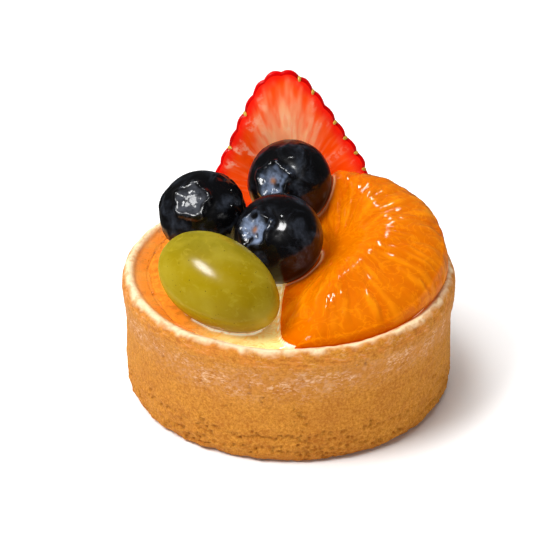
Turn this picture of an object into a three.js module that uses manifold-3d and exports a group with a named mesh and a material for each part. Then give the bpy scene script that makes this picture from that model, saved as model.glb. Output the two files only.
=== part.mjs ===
// A fruit tart: a straight-sided case of sandy pastry, filled with custard and topped with a grape,
// three dark berries, a mandarin segment and a slice of strawberry.
// Millimetres, +Z up. The origin is the centre of the flat base, and -Y is the front.

import * as THREE from "three";
import { mergeVertices } from "three/addons/utils/BufferGeometryUtils.js";
import Module from "manifold-3d";

// The pastry case
const LIP_RADIUS = 31;
const CASE_HEIGHT = 23.2;
const WALL = 2.9;
const FLOOR = 4;
const CASE_SIDES = 80;
const CASE_WOBBLE = 0.16;
const CRUMB_DEPTH = 0.14;
const THICKER_LEFT = 3.2;
const THICK_FROM = 0.3;
const THICK_TO = 1;

// The custard fills the case and is a little higher in the middle
const CUSTARD_EDGE_HEIGHT = 21.9;
const CUSTARD_CROWN = 0.5;
const CLEARANCE = 0.3;

// The grape lies on its side
const GRAPE = {
  at: [-12.3, -15.7, 28.4],
  length: 25.4,
  width: 15.7,
  turn: -40.7,
  dip: 8,
  narrowing: 0.07,
};

// The berries: the crown is the star-shaped rim that the flower leaves
const BERRIES = [
  { name: "berry_front", at: [-1.9, -1.6, 29.5], radius: 8.5, crown: [-0.58, -0.58, 0.57] },
  { name: "berry_left", at: [-16.2, 8.3, 29.5], radius: 8.4, crown: [-0.24, -0.64, 0.73] },
  { name: "berry_back", at: [0.2, 15.3, 32.5], radius: 8.3, crown: [-0.44, -0.78, 0.43] },
];
const BERRY_FLATTENING = 0.93;
const CROWN_ANGLE = 22;
const CROWN_WIDTH = 6;
const CROWN_HEIGHT = 0.55;
const CROWN_DEPTH = 0.6;
const CROWN_LOBES = 5;
const CROWN_LOBE_SHARE = 0.1;

// The mandarin segment lies on its side. Its thin edge is straight and goes under the berries, and
// its skin side follows the rim, inside it at the front and resting over it at the back.
const MANDARIN = {
  middle: [8, -1],
  thinEdgeTurn: -5,
  toThinEdge: 8.4,
  skinRadiusFront: 28,
  skinRadiusBack: 30.1,
  toBack: 31,
  cornerSharpness: 5,
  underside: 21.3,
  thinEdge: 2.4,
  thickFront: 6.6,
  thickMiddle: 11.6,
  thickBack: 14.2,
  riseMiddle: 19,
  riseEnds: 9,
  boxiness: 0.65,
  widestShare: 0.3,
  overLip: 2.45,
};
const RIDGES = [26, 37];
const RIDGE_HEIGHT = 0.22;

// The strawberry slice stands at the back, cut face to the front, point up
const SLICE = {
  at: [1.1, 22.9, 21.4],
  length: 29.2,
  halfWidth: 15.5,
  thickness: 4.4,
  leanBack: 10,
  leanLeft: 5,
  middleShare: 0.4,
};
const SCALLOP = 3.9;
const SCALLOP_DEPTH = 0.5;

const GOLDEN_ANGLE = Math.PI * (3 - Math.sqrt(5));
const radians = THREE.MathUtils.degToRad;
const { clamp, lerp, smoothstep } = THREE.MathUtils;

const wasm = await Module();
wasm.setup();

// Waves of whole numbers round a circle: uneven, from -1 to 1, and closed on itself.
function uneven(angle, waves, start = 0) {
  const sum = waves.reduce(
    (total, wave, i) => total + Math.sin(wave * angle + (i + 1) * GOLDEN_ANGLE + start),
    0,
  );
  return sum / waves.length;
}

// Closes a geometry's seams, so that only shared positions are left.
function closed(geometry) {
  return mergeVertices(geometry.deleteAttribute("normal").deleteAttribute("uv"), 1e-5);
}

// Moves each vertex of a geometry to where a function puts it.
function reshaped(geometry, place) {
  const shape = closed(geometry);
  const positions = shape.getAttribute("position");
  const point = new THREE.Vector3();
  for (let i = 0; i < positions.count; i++) {
    place(point.fromBufferAttribute(positions, i));
    positions.setXYZ(i, point.x, point.y, point.z);
  }
  shape.computeVertexNormals();
  return shape;
}

// A profile of [radius, height] pairs turned about the Z axis.
function turned(profile, sides) {
  const points = profile.map(([radius, height]) => new THREE.Vector2(radius, height));
  return new THREE.LatheGeometry(points, sides).rotateX(Math.PI / 2);
}

function toSolid(geometry) {
  return new wasm.Manifold(
    new wasm.Mesh({
      numProp: 3,
      vertProperties: geometry.getAttribute("position").array,
      triVerts: new Uint32Array(geometry.index.array),
    }),
  );
}

function toGeometry(solid) {
  const { vertProperties, triVerts } = solid.getMesh();
  const geometry = new THREE.BufferGeometry();
  geometry.setAttribute("position", new THREE.BufferAttribute(vertProperties, 3));
  geometry.setIndex(new THREE.BufferAttribute(triVerts, 1));
  geometry.computeVertexNormals();
  return geometry;
}

// A geometry with the space of the others taken out of it.
function cutBy(geometry, others) {
  const left = others.reduce((solid, other) => solid.subtract(toSolid(other)), toSolid(geometry));
  return toGeometry(left);
}

function placed(geometry, turn, at) {
  return geometry.applyQuaternion(turn).translate(...at);
}

function material(color, roughness) {
  return new THREE.MeshStandardMaterial({ color, roughness, metalness: 0 });
}

function named(name, geometry, finish) {
  const mesh = new THREE.Mesh(geometry, finish);
  mesh.name = name;
  return mesh;
}

// --- The pastry case ---

// From the middle of the base, out, up the outside, over the lip and down the inside.
function caseProfile() {
  const inner = LIP_RADIUS - WALL;
  return [
    [0, 0],
    [LIP_RADIUS - 2.2, 0],
    [LIP_RADIUS - 1.1, 0.2],
    [LIP_RADIUS - 0.4, 0.9],
    [LIP_RADIUS - 0.25, 2.2],
    [LIP_RADIUS - 0.25, 4.4],
    [LIP_RADIUS - 0.25, 6.6],
    [LIP_RADIUS - 0.4, 9],
    [LIP_RADIUS - 0.5, 11.5],
    [LIP_RADIUS - 0.55, 13.9],
    [LIP_RADIUS - 0.4, 16.2],
    [LIP_RADIUS - 0.15, 18.4],
    [LIP_RADIUS, 20.4],
    [LIP_RADIUS - 0.2, CASE_HEIGHT - 1.3],
    [LIP_RADIUS - 0.7, CASE_HEIGHT - 0.45],
    [LIP_RADIUS - 1.4, CASE_HEIGHT],
    [inner + 0.6, CASE_HEIGHT - 0.2],
    [inner + 0.1, CASE_HEIGHT - 0.9],
    [inner - 0.25, CUSTARD_EDGE_HEIGHT + 0.1],
    [inner - 0.35, CUSTARD_EDGE_HEIGHT - 0.8],
    [inner - 0.7, 12],
    [inner - 1.2, FLOOR + 1.5],
    [inner - 2.6, FLOOR],
    [0, FLOOR],
  ];
}

// The inside wall slopes in more at the left, where the pastry is thickest.
function wallThickening(angle, height) {
  const leftward = Math.abs(Math.atan2(Math.sin(angle - Math.PI), Math.cos(angle - Math.PI)));
  const below = 1 - smoothstep(height, CUSTARD_EDGE_HEIGHT - 0.5, CASE_HEIGHT - 0.5);
  return THICKER_LEFT * (1 - smoothstep(leftward, THICK_FROM, THICK_TO)) * below;
}

// How far the outside stands out or in: a slow wobble, and crumb that is rougher near the foot.
function caseRelief(angle, height) {
  const wobble = CASE_WOBBLE * uneven(angle, [2, 3, 5]);
  const rows = uneven(angle, [9, 14, 23], 1.7 * height) + uneven(angle, [17, 21], -2.3 * height);
  const roughness = lerp(1.6, 0.7, smoothstep(height, 1, 9));
  return wobble + 0.5 * CRUMB_DEPTH * roughness * rows;
}

function pastryCase() {
  const inner = LIP_RADIUS - WALL;
  return reshaped(turned(caseProfile(), CASE_SIDES), (p) => {
    const radius = Math.hypot(p.x, p.y);
    if (radius < inner - 1) return;
    const angle = Math.atan2(p.y, p.x);
    const outside = smoothstep(radius, inner, LIP_RADIUS - 1.4);
    const inward = (1 - outside) * wallThickening(angle, p.z);
    const scale = 1 + (outside * caseRelief(angle, p.z) - inward) / radius;
    p.x *= scale;
    p.y *= scale;
    const lip = smoothstep(p.z, CASE_HEIGHT - 2, CASE_HEIGHT);
    p.z += lip * CASE_WOBBLE * uneven(angle, [1, 4, 7, 11], 2);
  });
}

// --- The custard ---

function custardHeight(x, y) {
  const inner = LIP_RADIUS - WALL;
  return CUSTARD_EDGE_HEIGHT + CUSTARD_CROWN * (1 - (x * x + y * y) / (inner * inner));
}

function custard(pressing) {
  const edge = LIP_RADIUS - WALL - 0.3 - CLEARANCE;
  const rings = [0.8, 0.55, 0.28, 0].map((share) => [share * edge, CUSTARD_EDGE_HEIGHT]);
  const profile = [
    [0, FLOOR + CLEARANCE],
    [edge - 2.5, FLOOR + CLEARANCE],
    [edge - 1.1, FLOOR + 1.7],
    [edge - 0.5, 12],
    [edge, CUSTARD_EDGE_HEIGHT - 0.4],
    [edge - 0.3, CUSTARD_EDGE_HEIGHT],
    ...rings,
  ];
  const fill = reshaped(turned(profile, 40), (p) => {
    const radius = Math.hypot(p.x, p.y);
    const share = smoothstep(radius, edge - 3, edge);
    const scale = 1 - (share * wallThickening(Math.atan2(p.y, p.x), 0)) / Math.max(radius, 1);
    p.x *= scale;
    p.y *= scale;
    if (p.z > CUSTARD_EDGE_HEIGHT - 0.2) p.z = custardHeight(p.x, p.y);
  });
  return cutBy(fill, pressing);
}

// --- The grape ---

function grape(swell = 0) {
  const geometry = new THREE.SphereGeometry(1, 26, 16).rotateZ(Math.PI / 2);
  const half = [GRAPE.length, GRAPE.width, GRAPE.width].map((size) => size / 2 + swell);
  const shaped = reshaped(geometry, (p) => {
    const girth = 1 - GRAPE.narrowing * p.x;
    p.set(half[0] * p.x, half[1] * p.y * girth, half[2] * p.z * girth);
  });
  const lie = new THREE.Euler(0, radians(GRAPE.dip), radians(GRAPE.turn), "ZYX");
  return placed(shaped, new THREE.Quaternion().setFromEuler(lie), GRAPE.at);
}

// --- The berries ---

// How far the skin stands out from the ball, at a polar angle from the crown's middle.
function crownRelief(polar, around) {
  const rim = radians(CROWN_ANGLE) * (1 + CROWN_LOBE_SHARE * Math.cos(CROWN_LOBES * around));
  const ridge = Math.exp(-(((polar - rim) / radians(CROWN_WIDTH)) ** 2));
  const hollow = 1 - smoothstep(polar, 0.3 * rim, rim);
  return CROWN_HEIGHT * ridge - CROWN_DEPTH * hollow;
}

function berry({ at, radius, crown }, swell = 0) {
  const closerAtCrown = 0.62;
  const up = new THREE.Vector3(0, 0, 1);
  const geometry = new THREE.SphereGeometry(1, 25, 18).rotateX(Math.PI / 2);
  const shaped = reshaped(geometry, (p) => {
    const evenPolar = Math.acos(clamp(p.z, -1, 1));
    const polar = evenPolar * lerp(closerAtCrown, 1, evenPolar / Math.PI);
    const around = Math.atan2(p.y, p.x);
    const reach = radius + swell + crownRelief(polar, around);
    const ring = reach * Math.sin(polar);
    p.set(ring * Math.cos(around), ring * Math.sin(around), 0);
    p.z = reach * Math.cos(polar) * BERRY_FLATTENING;
  });
  const axis = new THREE.Vector3(...crown).normalize();
  return placed(shaped, new THREE.Quaternion().setFromUnitVectors(up, axis), at);
}

// --- The mandarin segment ---

// How far the outline is from the segment's middle: a circle about the tart's axis, cut by the
// straight thin edge and where the strawberry stands, with the corners rounded off.
function mandarinReach(angle) {
  const [x, y] = MANDARIN.middle;
  const toAxis = x * Math.cos(angle) + y * Math.sin(angle);
  const back = smoothstep(angle, radians(-70), radians(45));
  const skinRadius = lerp(MANDARIN.skinRadiusFront, MANDARIN.skinRadiusBack, back);
  const toSkin = Math.sqrt(toAxis * toAxis - x * x - y * y + skinRadius * skinRadius) - toAxis;
  const towardsEdge = -Math.cos(angle - radians(MANDARIN.thinEdgeTurn));
  const toEdge = MANDARIN.toThinEdge / Math.max(towardsEdge, 1e-3);
  const toBack = MANDARIN.toBack / Math.max(Math.sin(angle), 1e-3);
  const sharp = MANDARIN.cornerSharpness;
  return (toSkin ** -sharp + toEdge ** -sharp + toBack ** -sharp) ** (-1 / sharp);
}

function mandarinThickness(x, y) {
  const turn = radians(MANDARIN.thinEdgeTurn);
  const across = x * Math.cos(turn) + y * Math.sin(turn) + MANDARIN.toThinEdge;
  const rise = lerp(MANDARIN.riseMiddle, MANDARIN.riseEnds, smoothstep(Math.abs(y), 0, 20));
  const frontHalf = lerp(MANDARIN.thickFront, MANDARIN.thickMiddle, smoothstep(y, -24, 2));
  const thick = lerp(frontHalf, MANDARIN.thickBack, smoothstep(y, 2, 20));
  return lerp(MANDARIN.thinEdge, thick, smoothstep(across, 0, rise));
}

// How far a point is over the case's lip, from 0 inside it to 1 on top of it.
function liftOverLip(x, y) {
  const inner = LIP_RADIUS - WALL;
  return smoothstep(Math.hypot(x, y), inner - 0.8, inner + 0.5);
}

// The cells inside show through the skin as ridges that fan out from the thin edge.
function fanRidge(x, y) {
  const distance = Math.hypot(x + MANDARIN.toThinEdge, y);
  const fan = Math.atan2(y, x + MANDARIN.toThinEdge);
  return RIDGE_HEIGHT * smoothstep(distance, 5, 13) * uneven(fan, RIDGES, 0.12 * distance);
}

function mandarin(swell = 0) {
  const geometry = new THREE.SphereGeometry(1, 64, 16).rotateX(Math.PI / 2);
  const shaped = reshaped(geometry, (p) => {
    const angle = Math.atan2(p.y, p.x);
    const out = Math.hypot(p.x, p.y) ** MANDARIN.boxiness * (mandarinReach(angle) + swell);
    const x = out * Math.cos(angle);
    const y = out * Math.sin(angle);
    const thickness = mandarinThickness(x, y);
    const height = Math.sign(p.z) * Math.abs(p.z) ** MANDARIN.boxiness;
    const lift = MANDARIN.overLip * liftOverLip(x + MANDARIN.middle[0], y + MANDARIN.middle[1]);
    const widest = Math.max(MANDARIN.widestShare * thickness, lift + 0.5);
    const above = thickness - widest + fanRidge(x, y);
    p.set(x, y, widest + height * (swell + (height > 0 ? above : widest - lift)));
  });
  return placed(shaped, new THREE.Quaternion(), [...MANDARIN.middle, MANDARIN.underside]);
}

// --- The strawberry slice ---

// Half the width, by height up the slice as a share of its length.
function sliceOutline() {
  const stations = [
    [1, 0],
    [0.98, 0.16],
    [0.94, 0.27],
    [0.87, 0.38],
    [0.8, 0.465],
    [0.67, 0.61],
    [0.53, 0.75],
    [0.39, 0.905],
    [0.24, 1],
    [0.13, 0.92],
    [0.04, 0.68],
    [0, 0.4],
    [0, 0],
  ];
  const side = ([height, width], sign) =>
    new THREE.Vector3(sign * width * SLICE.halfWidth, 0, height * SLICE.length);
  const right = stations.map((station) => side(station, 1));
  const left = stations.slice(1, -1).map((station) => side(station, -1));
  return new THREE.CatmullRomCurve3([...right, ...left.reverse()], true);
}

function strawberrySlice(swell = 0) {
  const outline = sliceOutline();
  const around = 108;
  const scallops = Math.round(outline.getLength() / SCALLOP);
  const middle = SLICE.middleShare * SLICE.length;
  const third = SLICE.thickness / 3;
  const geometry = new THREE.SphereGeometry(1, around, 10);
  const shaped = reshaped(geometry, (p) => {
    const angle = Math.atan2(p.x, p.z);
    const turnShare = ((angle / (2 * Math.PI)) % 1) + 1;
    const edge = outline.getPointAt(turnShare % 1);
    const scallop = SCALLOP_DEPTH * (Math.abs(Math.sin(0.5 * scallops * angle)) - 1);
    const out = Math.hypot(p.x, p.z) ** 0.5;
    const share = out + (out ** 5 * scallop + out * swell) / SLICE.halfWidth;
    p.x = share * edge.x;
    p.z = lerp(middle, edge.z, share);
    const depth = p.y < 0 ? -((-p.y) ** 0.4) : 2 * p.y;
    p.y = third + depth * (third + swell);
  });
  const lean = new THREE.Euler(radians(-SLICE.leanBack), radians(-SLICE.leanLeft), 0);
  return placed(shaped, new THREE.Quaternion().setFromEuler(lean), SLICE.at);
}

// --- The whole tart ---

const roomForBerries = BERRIES.map((item) => berry(item, CLEARANCE));
const roomForSlice = strawberrySlice(CLEARANCE);

const tart = new THREE.Group();
tart.add(named("crust", pastryCase(), material(0xe3a45c, 0.85)));
const pressing = [grape(CLEARANCE), mandarin(CLEARANCE), ...roomForBerries, roomForSlice];
tart.add(named("custard", custard(pressing), material(0xf7e2a8, 0.35)));
tart.add(named("grape", grape(), material(0xa59a20, 0.2)));
for (const item of BERRIES) tart.add(named(item.name, berry(item), material(0x1c1d26, 0.3)));
const segment = cutBy(mandarin(), [...roomForBerries, roomForSlice]);
tart.add(named("mandarin", segment, material(0xf58a08, 0.25)));
tart.add(named("strawberry", strawberrySlice(), material(0xe8351c, 0.35)));

export default tart;
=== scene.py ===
"""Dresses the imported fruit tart: baked pastry, glazed custard and fruit, on a pale floor.

Lengths in the settings are metres. The shape functions work in millimetres, with the origin at the
centre of the flat base, +Z up and -Y to the front, and piece() turns them into metres. Noise takes
the size of its features, a seed that picks the pattern, and how many finer layers it has.
"""

import itertools
import math

import bpy
import numpy as np
from bpy.props import FloatProperty, FloatVectorProperty, PointerProperty
from bpy.types import Operator, Panel, PropertyGroup
from mathutils import Euler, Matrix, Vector


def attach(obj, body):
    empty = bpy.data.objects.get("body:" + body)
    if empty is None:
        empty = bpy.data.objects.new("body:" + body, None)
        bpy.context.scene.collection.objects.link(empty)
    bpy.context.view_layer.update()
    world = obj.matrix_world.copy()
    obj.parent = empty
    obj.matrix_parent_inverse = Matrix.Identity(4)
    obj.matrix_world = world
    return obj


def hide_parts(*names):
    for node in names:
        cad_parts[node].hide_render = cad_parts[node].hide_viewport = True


bl_info = {
    "name": "Fruit tart",
    "version": (1, 0, 0),
    "blender": (4, 5, 0),
    "location": "View3D > Sidebar > Fruit tart",
    "description": "Builds a glazed fruit tart piece by piece",
    "category": "Add Mesh",
}

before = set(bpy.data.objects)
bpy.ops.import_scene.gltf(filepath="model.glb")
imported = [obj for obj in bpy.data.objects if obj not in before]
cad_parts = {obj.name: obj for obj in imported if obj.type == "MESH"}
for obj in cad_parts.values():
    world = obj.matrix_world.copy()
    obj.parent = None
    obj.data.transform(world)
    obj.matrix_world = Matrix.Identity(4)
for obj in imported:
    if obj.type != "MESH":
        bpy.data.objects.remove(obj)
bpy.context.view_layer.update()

MM = 0.001
TINY = 1e-9
GOLDEN_ANGLE = math.pi * (3 - math.sqrt(5))
GLAZE_IOR = 1.4
WAXY_IOR = 1.75
CORNERS = np.array(list(itertools.product((0, 1), repeat=3)))
NEIGHBOURS = np.array(list(itertools.product((-1, 0, 1), repeat=3)))


# --- Settings ---


def srgb(red, green, blue):
    """A colour given as 0 to 255, as the linear one that shaders take."""
    shares = (c / 255 for c in (red, green, blue))
    linear = [c / 12.92 if c <= 0.04045 else ((c + 0.055) / 1.055) ** 2.4 for c in shares]
    return (*linear, 1.0)


def darker(tint, share):
    return [c * share for c in tint[:3]] + [1]


def number(name, default, description, **more):
    return FloatProperty(name=name, description=description, default=default, **more)


def length(name, millimetres, description):
    kind = {"min": 0.0, "unit": "LENGTH", "subtype": "DISTANCE", "precision": 5}
    return number(name, millimetres * MM, description, **kind)


def turn(name, degrees, description):
    return number(name, math.radians(degrees), description, subtype="ANGLE")


def watts(name, default, description):
    return number(name, default, description, min=0.0, unit="POWER")


def several(name, default, description, **more):
    return FloatVectorProperty(
        name=name, description=description, default=default, size=len(default), **more
    )


def place(name, at, description):
    return several(name, [c * MM for c in at], description, unit="LENGTH", subtype="TRANSLATION")


def direction(name, towards, description):
    return several(name, towards, description, subtype="DIRECTION")


def colour(name, rgb, description):
    return several(name, srgb(*rgb), description, min=0.0, max=1.0, subtype="COLOR")


class CaseSettings(PropertyGroup):
    lip_radius: length("Lip radius", 31, "Outside radius of the case at its lip")
    height: length("Height", 23.2, "Height of the case's crest")
    wall: length("Wall", 2.9, "Thickness of the case's wall at the lip")
    floor: length("Floor", 4, "Thickness of the case's floor")
    thicker_left: length("Thicker left", 3.2, "How much thicker the wall is at the left, inside")
    crumb: colour("Crumb", (191, 115, 18), "The sandy wall")
    golden: colour("Golden", (227, 157, 57), "Lighter grains of the wall")
    toast: colour("Toast", (168, 84, 18), "The pits and browned grains")
    band: colour("Band", (222, 136, 48), "The browned band under the crest")
    rosy: colour("Rosy", (210, 138, 70), "The paler band under it")
    crest: colour("Crest", (255, 228, 186), "The pale top of the lip")
    marks: colour("Marks", (244, 204, 164), "The crinkled flecks under the lip")
    glazed: colour("Glazed", (236, 132, 36), "The glazed inside of the wall")


class CustardSettings(PropertyGroup):
    edge_height: length("Edge height", 21.9, "Height of the filling at its edge")
    crown: length("Crown", 0.5, "How much higher the filling is in the middle")
    meniscus: length("Meniscus", 0.75, "How far the glaze climbs up what it meets")
    cream: colour("Cream", (255, 232, 150), "The custard")
    amber: colour("Amber", (255, 190, 84), "Streaks of thicker glaze")
    syrup_and_shade: colour("Syrup", (168, 104, 10), "Dark glaze round the grape")
    glaze: colour("Glaze", (255, 244, 214), "The thin pale edge of the glaze")


class GrapeSettings(PropertyGroup):
    at: place("At", (-12.3, -15.7, 28.4), "The grape's middle")
    length: length("Length", 25.4, "From end to end")
    width: length("Width", 15.7, "Across the middle")
    turn: turn("Turn", -40.7, "How far it is turned round, seen from above")
    dip: turn("Dip", 8, "How far its front end dips")
    narrowing: number("Narrowing", 0.07, "How much slimmer the front end is", subtype="FACTOR")
    skin: colour("Skin", (156, 132, 3), "The skin's main colour")
    deep: colour("Deep", (122, 94, 0), "Its browner parts, to the front")
    green: colour("Green", (112, 104, 18), "Its greener parts, to the back")
    light: colour("Light", (178, 160, 48), "Its lighter veins and rim")


class BerrySettings(PropertyGroup):
    front_at: place("Front at", (-1.9, -1.6, 29.5), "Middle of the front berry")
    front_radius: length("Front radius", 8.5, "Radius of the front berry")
    front_crown: direction("Front crown", (-0.58, -0.58, 0.57), "Where its crown points")
    left_at: place("Left at", (-16.2, 8.3, 29.5), "Middle of the left berry")
    left_radius: length("Left radius", 8.4, "Radius of the left berry")
    left_crown: direction("Left crown", (-0.24, -0.64, 0.73), "Where its crown points")
    back_at: place("Back at", (0.2, 15.3, 32.5), "Middle of the back berry")
    back_radius: length("Back radius", 8.3, "Radius of the back berry")
    back_crown: direction("Back crown", (-0.44, -0.78, 0.43), "Where its crown points")
    flattening: number("Flattening", 0.93, "Height along the crown, as a share", subtype="FACTOR")
    crown_angle: turn("Crown angle", 22, "From the crown's middle to its rim")
    crown_height: length("Crown height", 0.55, "How far the crown's rim stands out")
    skin: colour("Skin", (3, 3, 4), "The wet skin")
    bloom: colour("Bloom", (40, 44, 52), "The grey bloom on the skin")
    disc: colour("Disc", (96, 108, 130), "The blue-grey disc inside the crown")
    dull: colour("Dull", (54, 56, 62), "The greyer disc of the left berry")
    scar: colour("Scar", (128, 84, 52), "The dry middle of the crown")


class MandarinSettings(PropertyGroup):
    middle: place("Middle", (8, -1, 21.3), "The segment's middle, at its underside")
    thin_edge_turn: turn("Thin edge turn", -5, "Turn of the straight thin edge")
    to_thin_edge: length("To thin edge", 8.4, "From the middle to the thin edge")
    skin_radius_front: length("Front radius", 28.4, "From the tart's axis to the front")
    skin_radius_back: length("Back radius", 30.1, "From the tart's axis to the back")
    thin_edge: length("Thin edge", 2.4, "Thickness along the thin edge")
    thick_front: length("Front thickness", 6.6, "Thickness at the front end")
    thick_middle: length("Middle thickness", 11.6, "Thickness in the middle")
    thick_back: length("Back thickness", 14.2, "Thickness at the back end")
    over_lip: length("Over the lip", 1.5, "How far its underside rises over the lip")
    flesh: colour("Flesh", (196, 98, 0), "The flesh")
    bright: colour("Bright", (228, 138, 8), "The lighter sides of its cells")
    deep: colour("Deep", (180, 62, 0), "Between its cells and in the shade")
    glaze: colour("Glaze", (255, 190, 140), "The pale edge of the glaze on it")
    membrane: colour("Membrane", (250, 196, 158), "The pale skin round its outer edge")


class StrawberrySettings(PropertyGroup):
    at: place("At", (1.1, 22.9, 21.4), "Middle of the slice's foot")
    length: length("Length", 29.2, "From foot to point")
    half_width: length("Half width", 15.5, "Half of its greatest width")
    thickness: length("Thickness", 4.4, "Thickness of the slice")
    lean_back: turn("Lean back", 10, "How far it leans back")
    lean_left: turn("Lean left", 5, "How far it leans to the left")
    scallop: length("Scallop", 3.9, "From one seed's notch to the next")
    scallop_depth: length("Scallop depth", 0.5, "Depth of the notches")
    skin: colour("Skin", (198, 0, 2), "The red edge and skin")
    flesh: colour("Flesh", (252, 78, 4), "The flesh")
    blush: colour("Blush", (240, 30, 8), "The redder flesh next to the edge")
    core: colour("Core", (255, 180, 130), "The pale middle")
    streaks: colour("Streaks", (255, 206, 176), "The pale fibres")
    seed: colour("Seed", (226, 180, 60), "The seeds")


class StageSettings(PropertyGroup):
    distance: length("Camera distance", 310, "From the camera to what it looks at")
    elevation: turn("Camera elevation", 30.27, "How far the camera looks down")
    look_at: place("Look at", (-1.62, 0, 19.8), "The point in the middle of the view")
    view_angle: turn("View angle", 19.11, "The camera's whole angle of view")
    main_power: watts("Main light", 6.6, "Soft light from the back left")
    back_power: watts("Back light", 8.2, "Soft light from the back")
    fill_power: watts("Fill light", 4.5, "Low light from the right, on the tart alone")
    soft_power: watts("Soft light", 3.2, "Soft light from the front left")
    floor_power: watts("Floor light", 4.6, "Light from the left, on the floor alone")
    key_power: watts("Key light", 10.4, "Light from the left that shows in the glaze")
    front_power: watts("Front light", 18.0, "Light from the front, on the berries alone")
    glint_power: watts("Glint light", 2.6, "Strip behind, on the mandarin alone")
    world: number("Room light", 0.06, "Strength of the light from all round", min=0.0)
    floor: colour("Floor", (250, 250, 250), "The floor")


class TartSettings(PropertyGroup):
    case: PointerProperty(type=CaseSettings, name="Pastry case")
    custard: PointerProperty(type=CustardSettings, name="Custard")
    grape: PointerProperty(type=GrapeSettings, name="Grape")
    berries: PointerProperty(type=BerrySettings, name="Berries")
    mandarin: PointerProperty(type=MandarinSettings, name="Mandarin segment")
    strawberry: PointerProperty(type=StrawberrySettings, name="Strawberry slice")
    stage: PointerProperty(type=StageSettings, name="Stage")


# --- Numbers and noise ---


def mm(metres):
    return np.array(metres) / MM if hasattr(metres, "__len__") else metres / MM


def ease(value, start, end):
    """0 before start, 1 after end, and smooth between them."""
    t = np.clip((value - start) / (end - start), 0, 1)
    return t * t * (3 - 2 * t)


def lerp(a, b, t):
    return a + (b - a) * t


def hill(value, middle, width):
    """1 at the middle, and falling to 0 on both sides of it."""
    return np.exp(-(((value - middle) / width) ** 2))


def beside(gap, reach):
    """1 up to where a gap starts, and fading over a reach beyond it."""
    return np.exp(-np.maximum(gap, 0) / reach)


def uneven(angle, waves, start=0.0):
    """Waves of whole numbers round a circle: uneven, from -1 to 1, and closed on itself."""
    parts = (np.sin(w * angle + (i + 1) * GOLDEN_ANGLE + start) for i, w in enumerate(waves))
    return sum(parts) / len(waves)


def lattice(cell, seed):
    """A repeatable number from -1 to 1 for each cell of whole numbers."""
    x, y, z = (cell[..., i] for i in range(3))
    h = (x * 73856093) ^ (y * 19349663) ^ (z * 83492791) ^ (seed * 2654435761)
    for shift, factor in ((15, 2246822519), (13, 3266489917)):
        h = ((h ^ (h >> shift)) & 0xFFFFFFFF) * factor & 0xFFFFFFFF
    return ((h ^ (h >> 16)) & 0xFFFFFF) / 0x7FFFFF - 1


def noise(points, size, seed=0, octaves=1):
    """Smooth noise from about -1 to 1, with features of the given size."""
    total = weight = 0.0
    for octave in range(octaves):
        p = points * (2**octave / size) + 17.3 * octave
        cell = np.floor(p).astype(np.int64)
        t = p - cell
        t = t**3 * (t * (t * 6 - 15) + 10)
        for corner in CORNERS:
            share = np.prod(np.where(corner, t, 1 - t), axis=-1)
            total = total + share * lattice(cell + corner, seed + octave) / 2**octave
        weight += 1 / 2**octave
    return total / weight


def nearest(points, size, seed=0):
    """Distance to the nearest and to the second nearest of points scattered one to a cell."""
    p = points / size
    own = np.floor(p).astype(np.int64)
    first = np.full(p.shape[:-1], 9.0)
    second = first.copy()
    for step in NEIGHBOURS:
        cell = own + step
        scatter = np.stack([lattice(cell, seed + axis) for axis in range(3)], -1)
        away = np.linalg.norm(cell + 0.5 + 0.45 * scatter - p, axis=-1)
        second = np.minimum(second, np.maximum(first, away))
        first = np.minimum(first, away)
    return first, second


# --- Surfaces made of rings ---


def curve_points(p, rows):
    """A smooth curve from the second point on, with so many rows from each to the next."""
    parts = []
    for i, count in enumerate(rows):
        t = (np.arange(count) / count)[:, None]
        a, b, c, d = p[i : i + 4]
        curve = 2 * b + (c - a) * t + (2 * a - 5 * b + 4 * c - d) * t**2
        parts.append(0.5 * (curve + (3 * b - a - 3 * c + d) * t**3))
    return np.vstack(parts)


def through(points, rows):
    """A smooth open curve from the first point to the last."""
    p = np.array(points, float)
    p = np.vstack([2 * p[0] - p[1], p, 2 * p[-1] - p[-2]])
    return np.vstack([curve_points(p, rows), p[-2:-1]])


def all_round(sides):
    return np.arange(sides) * (2 * math.pi / sides)


def lathed(profile, sides):
    """The radii, angles and heights of a profile that is turned round the axis."""
    angle = np.broadcast_to(all_round(sides), (len(profile), sides))
    radius, z = (np.broadcast_to(profile[:, i : i + 1], angle.shape) for i in (0, 1))
    return radius, angle, z


def ring_of(radius, angle, height):
    return np.stack([radius * np.cos(angle), radius * np.sin(angle), height], -1)


def unit(vectors):
    return vectors / np.maximum(np.linalg.norm(vectors, axis=-1, keepdims=True), TINY)


def outward(rings):
    """The outward direction at each point of the rings."""
    along = np.gradient(rings, axis=0)
    around = (np.roll(rings, -1, axis=1) - np.roll(rings, 1, axis=1)) / 2
    vectors = np.cross(around, along)
    return unit(-vectors if np.sum(vectors * rings) < 0 else vectors)


def raised(rings, height):
    return rings + outward(rings) * height[..., None]


def placed(points, turning, at):
    return points @ np.array(turning).T + np.array(at)


def faces_of(rings):
    """Quads between rings, and triangles to a point at the first and the last ring."""
    rows, columns = rings.shape[0] - 2, rings.shape[1]
    index = 1 + np.arange(rows * columns).reshape(rows, columns)
    beside = np.roll(index, -1, axis=1)
    quads = np.stack([index[:-1], beside[:-1], beside[1:], index[1:]], -1).reshape(-1, 4)
    start = np.stack([np.zeros(columns, int), beside[0], index[0]], -1)
    end = np.stack([np.full(columns, rows * columns + 1), index[-1], beside[-1]], -1)
    faces = [*quads.tolist(), *start.tolist(), *end.tolist()]
    around = np.roll(rings, -1, axis=1) - rings
    along = np.roll(rings, -1, axis=0) - rings
    volume = np.sum(np.cross(around, along)[:-1] * rings[:-1])
    return faces if volume > 0 else [face[::-1] for face in faces]


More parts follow.
